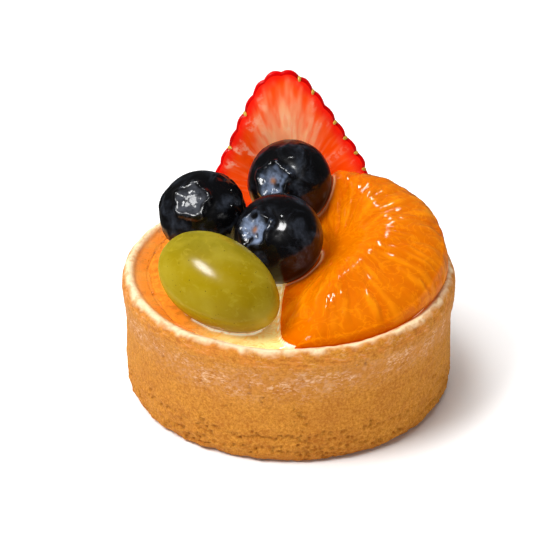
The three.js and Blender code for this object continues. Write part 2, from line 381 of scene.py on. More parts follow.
def one_row(values):
    """A value for each vertex: one for each end, and the rings' own between them."""
    flat = values[1:-1].reshape(-1, *values.shape[2:])
    return np.concatenate([values[:1].mean(axis=1), flat, values[-1:].mean(axis=1)])


def piece(name, shells, finish, replaces=None):
    """An object from shells of (rings, masks), which rides on the tart."""
    points, faces, masks = [], [], {}
    count = 0
    for rings, shell_masks in shells:
        rows = one_row(rings)
        faces += [[i + count for i in face] for face in faces_of(rings)]
        points.append(rows)
        count += len(rows)
        for key, values in shell_masks.items():
            masks.setdefault(key, []).append(one_row(np.broadcast_to(values, rings.shape[:2])))
    mesh = bpy.data.meshes.new(name)
    mesh.from_pydata((np.concatenate(points) * MM).tolist(), [], faces)
    for key, values in masks.items():
        attribute = mesh.attributes.new(key, "FLOAT", "POINT")
        attribute.data.foreach_set("value", np.concatenate(values).astype(np.float32))
    mesh.shade_smooth()
    mesh.materials.append(finish)
    made = bpy.data.objects.new(name, mesh)
    bpy.context.scene.collection.objects.link(made)
    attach(made, "root")
    if replaces:
        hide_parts(replaces)


# --- Shader expressions ---


class Wire:
    """A node's output. Sums with numbers and other wires add Math nodes."""

    def __init__(self, finish, socket):
        self.finish, self.socket = finish, socket

    def _maths(self, operation, a, b):
        return self.finish.node("ShaderNodeMath", {"operation": operation}, {0: a, 1: b})

    def __add__(self, other):
        return self._maths("ADD", self, other)

    def __sub__(self, other):
        return self._maths("SUBTRACT", self, other)

    def __rsub__(self, other):
        return self._maths("SUBTRACT", other, self)

    def __mul__(self, other):
        return self._maths("MULTIPLY", self, other)

    __radd__ = __add__
    __rmul__ = __mul__

    def eased(self, start, end):
        """0 before start, 1 after end, and smooth between them."""
        settings = {"interpolation_type": "SMOOTHSTEP"}
        values = {"Value": self, "From Min": start, "From Max": end}
        return self.finish.node("ShaderNodeMapRange", settings, values)


class Finish:
    """A material whose main shader's constants are set first, and whose nodes feed it."""

    def __init__(self, name, **constants):
        self.material = bpy.data.materials.new(name)
        self.material.use_nodes = True
        self.tree = self.material.node_tree
        self.shader = self.tree.nodes["Principled BSDF"]
        self.wear(subsurface_scale=1.0, **constants)
        self.where = self.node("ShaderNodeTexCoord", output="Object")

    def node(self, kind, settings=None, values=None, output=0):
        """A node with its settings, and then the values or links of its sockets."""
        made = self.tree.nodes.new(kind)
        for key, value in (settings or {}).items():
            setattr(made, key, value)
        for key, value in (values or {}).items():
            self.feed(self._open(made.inputs, key), value)
        return Wire(self, self._open(made.outputs, output))

    @staticmethod
    def _open(sockets, key):
        """The socket with that number or name among those in use."""
        used = [s for s in sockets if s.enabled]
        return used[key] if isinstance(key, int) else next(s for s in used if s.name == key)

    def feed(self, socket, value):
        if isinstance(value, Wire):
            self.tree.links.new(value.socket, socket)
        else:
            socket.default_value = value

    def wear(self, **channels):
        """Sets or links the main shader's sockets, such as coat_weight."""
        for key, value in channels.items():
            name = key.replace("_", " ").title().replace("Ior", "IOR")
            self.feed(self.shader.inputs[name], value)

    def mask(self, name):
        return self.node("ShaderNodeAttribute", {"attribute_name": name}, output="Fac")

    def stretched(self, x, y, z):
        """Object coordinates, with each axis stretched."""
        settings = {"operation": "MULTIPLY"}
        return self.node("ShaderNodeVectorMath", settings, {0: self.where, 1: (x, y, z)})

    def grain(self, size, detail=2.0, roughness=0.5, where=None, distortion=0.0):
        """Noise from 0 to 1, with features of the given size in millimetres."""
        values = {
            "Vector": where or self.where,
            "Scale": 1 / (size * MM),
            "Detail": detail,
            "Roughness": roughness,
            "Distortion": distortion,
        }
        return self.node("ShaderNodeTexNoise", None, values, output="Fac")

    def dots(self, size, start, end):
        """Round dots, one to a cell of the given size in millimetres, faded from start to end."""
        values = {"Vector": self.where, "Scale": 1 / (size * MM)}
        away = self.node("ShaderNodeTexVoronoi", None, values, output="Distance")
        return 1 - away.eased(start, end)

    def mix(self, share, a, b):
        settings = {"data_type": "RGBA"}
        return self.node("ShaderNodeMix", settings, {"Factor": share, "A": a, "B": b})

    def coats(self, tint, *layers):
        """Lays colours over a first one, each with its share."""
        for share, over in layers:
            tint = self.mix(share, tint, over)
        return tint

    def bumps(self, height, depth, strength=1.0):
        """Feeds the shader's normal with a relief of the given depth in millimetres."""
        values = {"Height": height, "Distance": depth * MM, "Strength": strength}
        self.wear(normal=self.node("ShaderNodeBump", None, values))


# --- The pastry case ---

CASE_SIDES = 684
# Height, sway, size of the sway and seed of each row of cracks round the foot
CRACK_ROWS = [(2.9, 0.8, 6, 33), (5.9, 1.1, 8, 37)]
BAND_HEIGHT = 17.3
# Inwards from the lip radius, height, and rows from here to the next
CASE_FOOT = [(4.4, 0, 2), (3.3, 0, 3), (2.2, 0, 5), (1.1, 0.2, 5), (0.4, 0.9, 6), (0.25, 2.2, 8)]
CASE_FOOT += [(0.25, 4.4, 8), (0.25, 6.6, 8), (0.4, 9, 8), (0.5, 11.5, 8), (0.55, 13.9, 8)]
CASE_FOOT += [(0.4, 16.2, 8), (0.15, 18.4, 8), (0, 20.4, 6)]


def case_profile(s, custard):
    """The case's section, from the middle of its base up over the lip and down to its floor."""
    lip, height = mm(s.lip_radius), mm(s.height)
    inner, floor, edge = lip - mm(s.wall), mm(s.floor), mm(custard.edge_height)
    stations = [(0, 0, 12)]
    stations += [(lip - inwards, z, rows) for inwards, z, rows in CASE_FOOT]
    stations += [
        (lip - 0.2, height - 1.3, 4),
        (lip - 0.7, height - 0.45, 4),
        (lip - 1.4, height, 4),
        (inner + 0.6, height - 0.2, 4),
        (inner + 0.1, height - 0.9, 4),
        (inner - 0.25, edge + 0.1, 4),
        (inner - 0.35, edge - 0.8, 5),
        (inner - 0.7, 12, 3),
        (inner - 1.2, floor + 1.5, 3),
        (inner - 2.6, floor, 2),
        (inner - 4, floor, 4),
        (0, floor, 0),
    ]
    rows = [station[2] for station in stations[:-1]]
    return through([station[:2] for station in stations], rows)


def wall_thickening(s, angle, z, custard_edge):
    """How much further in the wall stands at the left, under the crest."""
    leftward = np.abs(np.arctan2(np.sin(angle - math.pi), np.cos(angle - math.pi)))
    below = 1 - ease(z, custard_edge - 0.5, mm(s.height) - 0.5)
    return mm(s.thicker_left) * (1 - ease(leftward, 0.3, 1)) * below


def case_shell(s, custard):
    lip, height = mm(s.lip_radius), mm(s.height)
    inner = lip - mm(s.wall)
    radius, angle, z = lathed(case_profile(s, custard), CASE_SIDES)
    walls = radius >= inner - 1
    outside = np.where(walls, ease(radius, inner, lip - 1.4), 0)
    rows = uneven(angle, [9, 14, 23], 1.7 * z) + uneven(angle, [17, 21], -2.3 * z)
    relief = 0.16 * uneven(angle, [2, 3, 5]) + 0.07 * lerp(1.6, 0.7, ease(z, 1, 9)) * rows
    inward = (1 - outside) * wall_thickening(s, angle, z, mm(custard.edge_height)) * walls
    lift = 0.16 * ease(z, height - 2, height) * uneven(angle, [1, 4, 7, 11], 2) * walls
    rings = ring_of(radius + outside * relief - inward, angle, z + lift)
    return crumbed(rings, s, outside)


def case_pits(rings, drift, low, lip_band):
    """Pits in the crumb, mostly near the foot, and cracks along the rows of cracks."""
    z = rings[..., 2]
    rows = sum(
        hill(z, at + sway * noise(rings, size, seed, 2), 0.4) for at, sway, size, seed in CRACK_ROWS
    )
    spots, _ = nearest(rings * (0.8, 0.8, 1.3), 0.85, 15)
    chance = noise(rings, 2.2, 25, 2) + 0.35 * low + 0.95 * rows
    pits = (1 - ease(spots, 0.2, 0.5)) * ease(chance, 0.4, 0.7) * (1 - lip_band)
    dashes, _ = nearest(rings * (0.42, 0.42, 1.5), 0.75, 45)
    dashes = (1 - ease(dashes, 0.25, 0.53)) * ease(rows * ease(drift, -0.5, 0.1), 0.25, 0.7)
    return np.maximum(pits, dashes * ease(noise(rings, 1.3, 47, 2), -0.25, 0.15))


def case_inside(rings, radius, s, outside):
    """The inside of the wall, which the glaze has reached, with a wavering upper edge."""
    lip, floor = mm(s.lip_radius), mm(s.floor)
    inside = 1 - ease(radius + 0.35 * noise(rings, 2.4, 107, 3), lip - 3.8, lip - 3)
    inside = np.maximum(1 - outside, inside * ease(rings[..., 2], 20, 21))
    return inside * ease(rings[..., 2], floor + 2, floor + 4)


def case_crest(rings, radius, angle, s):
    """The pale top of the lip, ragged and streaky, and wider at the left."""
    lip, height = mm(s.lip_radius), mm(s.height)
    leftward = ease(-rings[..., 0], 14, 26)
    top = rings[..., 2] + 0.7 * noise(rings, 1.8, 101, 4) + 0.9 * leftward
    outer = radius + 0.7 * noise(rings, 1.6, 103, 4) - 0.3 * leftward
    crest = ease(top, height - 1.5, height - 0.7) * (1 - ease(outer, lip - 1.5, lip - 0.45))
    streaky = noise(ring_of(26 + 0 * radius, angle, radius * 1.6), 1.5, 105, 3)
    return crest * lerp(1, 0.5, ease(streaky, 0.05, 0.4))


def crumbed(rings, s, outside):
    """The case's rings with crumb, pits, cracks and a ragged foot, and masks for its colours."""
    lip, height = mm(s.lip_radius), mm(s.height)
    z = rings[..., 2]
    angle = np.arctan2(rings[..., 1], rings[..., 0])
    radius = np.hypot(rings[..., 0], rings[..., 1])
    drift = noise(rings, 9, 3, 2)
    side = outside * ease(radius, lip - 2.6, lip - 1.2)
    low = 1 - ease(z + 1.4 * drift, 3.5, 8.5)
    lip_band = ease(z + 0.8 * drift, 19.6, 21)
    pits = case_pits(rings, drift, low, lip_band)
    line = 1 - 3.2 * np.abs(noise(rings * (1, 1, 1.4), 1.05, 31, 2))
    band = hill(z, BAND_HEIGHT + 1.3 * noise(rings, 14, 41), 2.7)
    marks = ease(line, 0.1, 0.8) * band * ease(noise(rings, 1.9, 51, 3), -0.3, 0.25) * side
    first, second = nearest(rings * (1, 1, 1.2), 0.95, 5)
    rough = 0.11 * (0.45 - first) * lerp(0.5, 2.0, low) + 0.05 * noise(rings, 0.55, 61, 2)
    rough = rough + 0.14 * low * noise(rings, 1.5, 65, 3)
    rough = rough * lerp(1, 0.4, lip_band) - 0.42 * pits + 0.09 * marks - 0.05 * band
    rough = rough + 0.08 * noise(rings, 2.6, 71, 2) - 0.09
    foot = 0.16 + 0.3 * noise(rings * (1, 1, 0.6), 1.5, 81, 2)
    rough = rough - foot * (1 - ease(z, 0.8, 2.6))
    inside = case_inside(rings, radius, s, outside)
    drips = noise(ring_of(9 + 0 * z, angle, z / 6), 1, 91, 2)
    top = ease(z, height - 1.2, height - 0.3)
    lumps = top * (0.13 * noise(rings, 3.2, 95, 2) + 0.07 * noise(rings, 1.1, 97, 2) - 0.12)
    towards = lerp(unit(rings * (1, 1, 0)), outward(rings), ease(z, 0.6, 2.4)[..., None])
    depth = (rough * side + 0.22 * drips * (1 - outside) * inside) * (1 - top)
    made = rings + towards * depth[..., None]
    made[..., 2] = np.maximum(made[..., 2] + lumps, 0)
    crest = case_crest(rings, radius, angle, s) * (1 - inside)
    masks = {
        "pits": pits * side,
        "marks": marks,
        "rosy": band * side * (1 - lip_band),
        "crest": crest,
        "lip": lip_band * ease(radius, lip - 2, lip - 1.1) * (1 - crest),
        "foot": (1 - ease(z + drift, 0.3, 2.6)) * outside,
        "inside": inside * (1 - crest),
        "drips": ease(drips, 0.1, 0.5) * inside,
        "gaps": np.clip(1 - 3.2 * (second - first), 0, 1) * side,
    }
    return made, masks


def pastry_finish(s):
    finish = Finish(
        "baked_pastry",
        roughness=0.78,
        specular_ior_level=0.35,
        subsurface_weight=0.08,
        subsurface_radius=(0.0016, 0.0009, 0.0004),
        emission_strength=0.18,
    )
    mask, grain = finish.mask, finish.grain
    lip, inside = mask("lip"), mask("inside")
    streaked = grain(1.6, 4, 0.7, where=finish.stretched(0.5, 0.5, 1.4)).eased(0.5, 0.75)
    specks = finish.dots(0.6, 0.05, 0.3) * grain(1.7, 2).eased(0.5, 0.62)
    along = grain(1.2, 4, 0.65, where=finish.stretched(0.6, 0.6, 1.8))
    crinkle = grain(0.8, 4, 0.65, distortion=1.6, where=finish.stretched(0.6, 0.6, 1.5))
    patchy = mask("rosy") * grain(3.2, 2).eased(0.38, 0.6)
    marks = mask("marks") * 0.5 + patchy * crinkle.eased(0.53, 0.6)
    tint = finish.coats(
        s.crumb,
        (grain(0.5, 5, 0.8).eased(0.36, 0.64), s.golden),
        (grain(5.5, 3, 0.6).eased(0.4, 0.8) * 0.3, s.toast),
        (streaked * 0.3, s.toast),
        (specks * 0.4, s.toast),
        (mask("rosy") * 0.4, s.rosy),
        (lip * grain(2.2, 4, 0.65).eased(0.35, 0.65) * 0.8, s.band),
        (lip * along.eased(0.5, 0.66) * 0.6, s.toast),
        (lip * along.eased(0.46, 0.34) * 0.28, s.marks),
        (mask("foot") * 0.35, s.toast),
        (inside, s.glazed),
        (inside * grain(1.2, 3, 0.7).eased(0.52, 0.68) * 0.4, s.toast),
        (mask("drips") * 0.35, s.golden),
        # Painted shade: the gaps between the crumbs and the pits are darker toast, on top of their
        # relief
        (mask("gaps") * 0.2, s.toast),
        (mask("pits") * 0.36, darker(s.toast, 0.55)),
        (patchy * crinkle.eased(0.45, 0.38) * 0.5, s.toast),
        (marks * 0.56, s.marks),
        (mask("crest") * (0.75 + 0.25 * grain(1.3, 3, 0.6).eased(0.35, 0.55)), s.crest),
    )
    wet = inside.eased(0.2, 0.8)
    # Painted light: the glazed inside of the wall glows in its own colour, which lifts the shade on
    # it
    glow = finish.mix(wet, (0, 0, 0, 1), tint)
    finish.wear(base_color=tint, roughness=0.8 - wet * 0.5, coat_weight=wet * 0.4)
    finish.wear(emission_color=glow)
    crumb = grain(0.36, 4, 0.75) + grain(0.9, 3, 0.6) * 0.8
    finish.bumps(crumb * (1 - 0.5 * lip), 0.22)
    return finish.material


# --- The fruit's shapes, which the custard is pressed by ---


def sphere_grid(rows, columns, power=1.0):
    """Heights and outward shares of a ball's rings, bottom to top, and the angles round it."""
    t = (np.arange(rows + 1) / rows - 0.5) * math.pi
    grid = np.broadcast_to(t[:, None], (rows + 1, columns))
    height = np.sign(np.sin(grid)) * np.abs(np.sin(grid)) ** power
    return height, np.cos(grid) ** power, np.broadcast_to(all_round(columns), grid.shape)


def grape_turning(s):
    """Dips the grape's front end first, and then turns it round the vertical."""
    return Euler((0, s.dip, s.turn), "XYZ").to_matrix()


# Keeps the grape's uneven skin inside its solid
GRAPE_SHARE = 0.995


def grape_shell(s):
    height, share, angle = sphere_grid(150, 210)
    half_length = mm(s.length) / 2
    girth = mm(s.width) / 2 * (1 - s.narrowing * height) * share
    rings = np.stack([half_length * height, girth * np.cos(angle), girth * np.sin(angle)], -1)
    rings = rings * (1 + 0.006 * noise(rings, 7, 7, 2))[..., None] * GRAPE_SHARE
    tide = hill(rings[..., 0], -0.84 * half_length + 0.5 * noise(rings, 4, 9, 2), 0.28)
    tide = tide * ease(noise(rings, 5, 12, 2), -0.3, 0.3)
    rings = raised(rings, 0.09 * tide)
    upward = 0.7 * np.sin(angle) * share + 0.3 * np.cos(angle) * share
    masks = {
        "end": ease(np.abs(height), 0.86, 1.0),
        "tide": tide,
        "back": ease(upward - 0.5 * height, 0.1, 0.9),
        "front": ease(height, 0.1, 0.9),
    }
    return placed(rings, grape_turning(s), mm(s.at)), masks


def berry_list(s):
    """Each berry's node, middle, radius and the direction of its crown."""
    return [
        ("berry_front", mm(s.front_at), mm(s.front_radius), Vector(s.front_crown)),
        ("berry_left", mm(s.left_at), mm(s.left_radius), Vector(s.left_crown)),
        ("berry_back", mm(s.back_at), mm(s.back_radius), Vector(s.back_crown)),
    ]


def custard_height(s, inner, x, y):
    """The filling's level, which is highest in the middle."""
    return mm(s.edge_height) + mm(s.crown) * (1 - (x * x + y * y) / (inner * inner))


def ball_gap(points, middle, radius):
    return np.linalg.norm(points - middle, axis=-1) - radius


def grape_gap(points, s):
    """Roughly how far points are from the grape's skin."""
    local = (points - mm(s.at)) @ np.array(grape_turning(s))
    half = np.array([mm(s.length), mm(s.width), mm(s.width)]) / 2
    share = np.linalg.norm(local / half, axis=-1)
    slope = np.linalg.norm(local / half**2, axis=-1) / np.maximum(share, TINY)
    return (share - 1) / np.maximum(slope, TINY)


# How far the segment would reach straight back, how sharply its sides meet, and the least slant
# towards a side, which puts one that faces away out of reach
BACK_REACH = 31
SHARPNESS = 5.0
AWAY = 1e-3


def mandarin_reach(s, angle):
    """How far the segment reaches from its middle, with its three sides rounded into each other."""
    x, y = mm(s.middle)[:2]
    to_axis = x * np.cos(angle) + y * np.sin(angle)
    back = ease(angle, math.radians(-70), math.radians(45))
    skin = lerp(mm(s.skin_radius_front), mm(s.skin_radius_back), back)
    to_skin = np.sqrt(to_axis**2 - x * x - y * y + skin**2) - to_axis
    to_edge = mm(s.to_thin_edge) / np.maximum(-np.cos(angle - s.thin_edge_turn), AWAY)
    to_back = BACK_REACH / np.maximum(np.sin(angle), AWAY)
    return sum(side**-SHARPNESS for side in (to_skin, to_edge, to_back)) ** (-1 / SHARPNESS)


def mandarin_thickness(s, x, y):
    """Thin along the straight edge, and thicker towards the outer skin and towards the back."""
    across = x * math.cos(s.thin_edge_turn) + y * math.sin(s.thin_edge_turn) + mm(s.to_thin_edge)
    rise = lerp(19, 9, ease(np.abs(y), 0, 20))
    thick = lerp(mm(s.thick_front), mm(s.thick_middle), ease(y, -24, 2))
    thick = lerp(thick, mm(s.thick_back), ease(y, 2, 20))
    return lerp(mm(s.thin_edge), thick, ease(across, 0, rise))


# --- The custard ---

CUSTARD_SIDES = 560
CUSTARD_SPOKES = 150


def custard_shell(settings):
    s, case = settings.custard, settings.case
    inner = mm(case.lip_radius) - mm(case.wall)
    edge, floor, top = inner - 0.15, mm(case.floor) + 0.1, mm(s.edge_height)
    stations = [(0, floor), (edge - 2.4, floor), (edge - 1, floor + 1.6), (edge - 0.4, 12)]
    stations += [(edge, top - 0.5), (edge, top)]
    profile = through(stations, [4, 3, 4, 8, 4])
    spokes = np.linspace(edge, 0, CUSTARD_SPOKES)[1:, None]
    profile = np.vstack([profile, np.hstack([spokes, np.full_like(spokes, top)])])
    radius, angle, z = lathed(profile, CUSTARD_SIDES)
    thickening = ease(radius, edge - 3, edge) * wall_thickening(case, angle, z, top)
    rings = ring_of(radius - thickening, angle, z)
    surface = z >= top - 1e-6
    x, y, up = (rings[..., i] for i in range(3))
    level = custard_height(s, inner, x, y) + 0.06 * noise(rings, 5, 17, 2)
    at_level = np.stack([x, y, level], -1)
    gaps = [grape_gap(at_level, settings.grape)]
    gaps += [ball_gap(at_level, at, size) for _, at, size, _ in berry_list(settings.berries)]
    middle = mm(settings.mandarin.middle)
    bearing = np.arctan2(y - middle[1], x - middle[0])
    away = np.hypot(x - middle[0], y - middle[1])
    gaps.append(away - mandarin_reach(settings.mandarin, bearing))
    wall_gap = edge - radius
    climb = mm(s.meniscus)
    near_fruit = np.min(gaps, axis=0)
    by_segment = beside(gaps[-1], 1.2)
    rise = climb * beside(near_fruit, 0.55)
    rise = rise + 0.8 * climb * np.exp(-wall_gap / 0.9) * (1 - ease(thickening, 0, 0.6))
    rise = np.minimum(rise + 0.8 * by_segment * np.exp(-wall_gap / 1.2), 1.15)
    up[surface] = (level + rise * (near_fruit > -0.6))[surface]
    for gap in gaps[:-1]:
        up[surface] -= np.clip(-gap, 0, 3)[surface]
    under = surface & (gaps[-1] < -0.4)
    up[under] = np.minimum(up[under], middle[2] - 0.15)
    up[surface] += (0.1 * noise(rings, 1.7, 19, 2) * ease(near_fruit, 0, 1))[surface]
    # Painted light: the custard is paled between the grape and the segment, and under the segment
    # by the wall, where they shade it
    between = beside(gaps[0], 1.6) * beside(gaps[-1], 1.6)
    between = np.maximum(between, by_segment * beside(wall_gap, 1.4))
    wobble = 0.12 * noise(rings, 2, 23, 2)
    masks = {
        "left": ease(-x, 9, 20),
        "by_grape": beside(gaps[0] - 0.3, 1.1),
        # Where the segment's light is painted on the custard
        "mandarin_light": beside(gaps[-1], 0.6),
        "between": ease(between, 0.25, 0.6),
        # Painted highlight: a thin pale line along the glaze's edge round the fruit
        "rim": hill(near_fruit + wobble, 0.36, 0.15),
    }
    return rings, {key: mask * surface for key, mask in masks.items()}


def custard_finish(s, case, mandarin):
    finish = Finish(
        "glazed_custard",
        roughness=0.14,
        coat_weight=0.4,
        coat_roughness=0.05,
        coat_ior=GLAZE_IOR,
        specular_ior_level=0.4,
        subsurface_weight=0.3,
        subsurface_radius=(0.003, 0.002, 0.0008),
        emission_strength=0.44,
    )
    mask, grain = finish.mask, finish.grain
    left = mask("left")
    tint = finish.coats(
        s.cream,
        (grain(1.6, 4, 0.65, distortion=0.8).eased(0.42, 0.66) * 0.8, s.amber),
        (left, case.glazed),
        (left * grain(1.4, 4, 0.7).eased(0.42, 0.62) * 0.55, case.toast),
        # Darker round the grape: thicker glaze, and painted shade under the grape
        (mask("by_grape") * 0.8, s.syrup_and_shade),
        # Painted light: orange from the segment, as if its light falls on the custard beside it
        (mask("mandarin_light") * 0.45, mandarin.flesh),
        # Painted light in the shaded gaps by the grape and the segment
        (mask("between") * 0.85, s.glaze),
        # Painted highlight on the glaze's edge round the fruit
        (mask("rim") * grain(1.7, 2).eased(0.3, 0.5), s.glaze),
    )
    # Painted light: the custard glows in its own colour, which lifts the shade that the fruit casts
    # on it
    finish.wear(base_color=tint, emission_color=tint)
    finish.bumps(grain(1.6, 2), 0.2, 0.7)
    return finish.material


# --- The grape ---


def grape_finish(s):
    finish = Finish(
        "grape_skin",
        roughness=0.3,
        subsurface_weight=0.5,
        subsurface_radius=(0.006, 0.005, 0.0015),
        coat_weight=0.5,
        coat_roughness=0.21,
        coat_ior=WAXY_IOR,
        specular_ior_level=0.0,
    )
    mask, grain = finish.mask, finish.grain
    veins = grain(1.8, 3, 0.6, distortion=1.2, where=finish.stretched(1, 1, 1.5))
    specks = finish.dots(0.95, 0.05, 0.16) * grain(2.1, 1).eased(0.46, 0.56)
    tint = finish.coats(
        s.skin,
        (mask("back") * 0.75, s.green),
        (mask("front") * 0.5, s.deep),
        (grain(5, 3, 0.5).eased(0.4, 0.75) * 0.4, s.light),
        (veins.eased(0.54, 0.7) * 0.32, s.light),
        (specks * 0.8, (0.03, 0.022, 0.003, 1)),
        (mask("end") * 0.3, s.light),
        # The tide line: a real glaze ridge, lighter as a painted highlight
        (mask("tide") * 0.4, s.light),
    )
    finish.wear(base_color=tint)
    finish.bumps(grain(2.6, 2), 0.04, 0.4)
    return finish.material


# --- The berries ---

BERRY_ROWS = 190
BERRY_COLUMNS = 220


def berry_shell(s, at, radius, crown, seed, creased, pale, dull):
    """A berry with its crown up, then turned so that the crown points where it should."""
    share = np.arange(BERRY_ROWS + 1)[:, None] / BERRY_ROWS
    packed = math.pi * share * lerp(0.55, 1, share)
    polar, around = np.broadcast_arrays(packed, all_round(BERRY_COLUMNS))
    ball = ring_of(np.sin(polar), around, np.cos(polar))
    spot = ball * radius + seed
    rim = s.crown_angle * (1 + 0.1 * np.cos(5 * around))
    star = mm(s.crown_height) * hill(polar, rim, math.radians(6))
    hollow = 0.6 * (1 - ease(polar, 0.3 * rim, rim))
    near = 1 - ease(polar, 1.3 * rim, 2.2 * rim)
    ragged = noise(spot * (1, 1, 1.5), 1.4, seed + 3, 2)
    torn = noise(spot, 2.6, seed + 4, 2)
    edge_at = rim * (1 + 0.3 * torn + 0.1 * ragged)
    ridge = hill(polar, edge_at, math.radians(3.5)) * ease(noise(spot, 2.2, seed + 6, 2), -0.4, 0.2)
    folds = ridge * (0.3 * ragged + 0.14) + 0.09 * near * ragged
    wrinkled = ease(noise(spot, 6, seed + 9, 2), -0.25, 0.3) * (1 - near)
    crease = 1 - 2.6 * np.abs(noise(spot, 2.8, seed + 13, 2))
    wrinkles = 0.22 * creased * wrinkled * ease(crease, 0, 1)
    scar = hill(polar, 0.35 * s.crown_angle, math.radians(4)) * 0.12
    pocks = 1 - ease(nearest(spot, 4.4, seed + 21)[0], 0.04, 0.11)
    reach = radius + star - hollow + folds + wrinkles + scar + 0.05 * noise(spot, 4, seed + 5, 2)
    reach = reach - 0.3 * pocks * (1 - near) - 0.14 - 0.1 * creased
    rings = ball * reach[..., None] * (1, 1, s.flattening)
    turning = Vector((0, 0, 1)).rotation_difference(crown).to_matrix()
    masks = {
        "dull": np.full_like(polar, dull),
        "disc": pale * (1 - ease(polar, 0.72 * edge_at, 0.96 * edge_at)) * ease(ragged, -0.7, 0.1),
        "rim": pale * ridge * ease(ragged, -0.2, 0.5),
        "centre": hill(polar, 0, math.radians(4)),
    }
    return placed(rings[::-1], turning, at), {key: mask[::-1] for key, mask in masks.items()}


def berry_finish(s):
    finish = Finish(
        "berry_skin",
        roughness=0.4,
        coat_weight=0.34,
        coat_roughness=0.15,
        coat_ior=WAXY_IOR,
        specular_ior_level=0.08,
    )
    mask, grain = finish.mask, finish.grain
    clouds = grain(4.2, 5, 0.62, distortion=0.6).eased(0.46, 0.72)
    clouds = clouds * (0.4 + 0.6 * grain(0.9, 4, 0.7).eased(0.35, 0.7))
    disc = mask("disc") * (0.35 + 0.65 * grain(1.3, 4, 0.65).eased(0.35, 0.6))
    pale = finish.mix(mask("dull"), s.disc, s.dull)
    tint = finish.coats(
        s.skin,
        (clouds, s.bloom),
        (disc, pale),
        (mask("rim") * grain(0.5, 3).eased(0.45, 0.6) * 0.5, pale),
        (mask("centre") * (1 - mask("dull")) * 0.85, s.scar),
    )
    finish.wear(base_color=tint, roughness=0.32 + disc * 0.3)
    finish.bumps(grain(0.8, 3, 0.6) * 0.4 + grain(3.2, 2) * 1.5, 0.05, 0.6)
    return finish.material


# --- The mandarin segment ---

# Where the cells meet
FAN_MIDDLE = (8.2, -4.0)


def fan_noise(bearing, distance, across, along, size, seed, octaves=1):
    """Noise in strips that fan out from the middle of the cells."""
    bent = [across * np.cos(bearing), across * np.sin(bearing), distance / along]
    return noise(np.stack(bent, -1), size, seed, octaves)


def mandarin_shell(settings):
    s = settings.mandarin
    height, share, angle = sphere_grid(150, 470, 0.65)
    out = share * mandarin_reach(s, np.arctan2(np.sin(angle), np.cos(angle)))
    x, y = out * np.cos(angle), out * np.sin(angle)
    thickness = mandarin_thickness(s, x, y)
    middle = mm(s.middle)
    inner = mm(settings.case.lip_radius) - mm(settings.case.wall)
    from_axis = np.hypot(x + middle[0], y + middle[1])
    # The underside rises over the lip, and the rim of the segment droops again outside it
    lift = mm(s.over_lip) * ease(from_axis, inner - 0.8, inner + 0.5)
    lift = lift - ease(from_axis, inner + 1, inner + 1.9)
    widest = np.maximum(0.1 * thickness, lift + 0.3)
    z = widest + height * np.where(height > 0, thickness - widest, widest - lift)
    rings = np.stack([x, y, z], -1) + middle
    top = ease(height, 0, 0.4)
    fan_x, fan_y = rings[..., 0] - FAN_MIDDLE[0], rings[..., 1] - FAN_MIDDLE[1]
    distance, bearing = np.hypot(fan_x, fan_y), np.arctan2(fan_y, fan_x)
    bend = bearing + 0.05 * noise(rings, 6, 3, 2)
    fibre = fan_noise(bend, distance, 9.5, 7, 0.8, 5, 3)
    fine = fan_noise(bend, distance, 20, 2.2, 0.8, 9, 2)
    spread = ease(distance, 3, 12)
    cells = np.stack([9.5 * np.cos(bend), 9.5 * np.sin(bend), distance / 7], -1)
    first, _ = nearest(cells, 1, 35)
    relief = 0.5 * (0.3 - first**2) + 0.26 * fan_noise(bend, distance, 5, 9, 1, 45) + 0.03 * fibre
    relief = spread * relief + 0.13 * noise(rings, 2.4, 15, 2) - 0.15 * hill(distance, 0, 3.2)
    rings = raised(rings, top * relief - 0.1)
    # The glaze climbs up the berries, and nothing reaches into them
    berries = berry_list(settings.berries)
    gap = np.min([ball_gap(rings, at, radius) for _, at, radius, _ in berries], axis=0)
    rings[..., 2] += 0.45 * beside(gap, 0.35) * (gap > -0.5) * top
    for _, at, radius, _ in berries:
        away = rings - at
        reach = np.linalg.norm(away, axis=-1, keepdims=True)
        rings = np.where(reach < radius + 0.06, at + away / reach * (radius + 0.06), rings)
    light_side = 0.5 - first + 0.7 * fibre + 0.15 * fine
    over_foot = rings[..., 2] - middle[2]
    masks = {
        "glaze": hill(gap, 0.2, 0.22) * top,
        # Painted shade next to the berries
        "near": beside(gap, 2.4),
        "bright": ease(light_side, 0, 0.6) * lerp(0.3, 1, spread),
        "deep": ease(-light_side, 0, 0.6) * lerp(0.3, 1, spread),
        "thick": ease(over_foot, 1.5, 5),
        "edge": ease(share, 0.95, 1.0) * ease(bearing, -1.2, -0.2) * ease(height, -0.3, 0.1),
        "shade": 1 - ease(over_foot, 0.5, 3.5),
    }
    return rings, masks


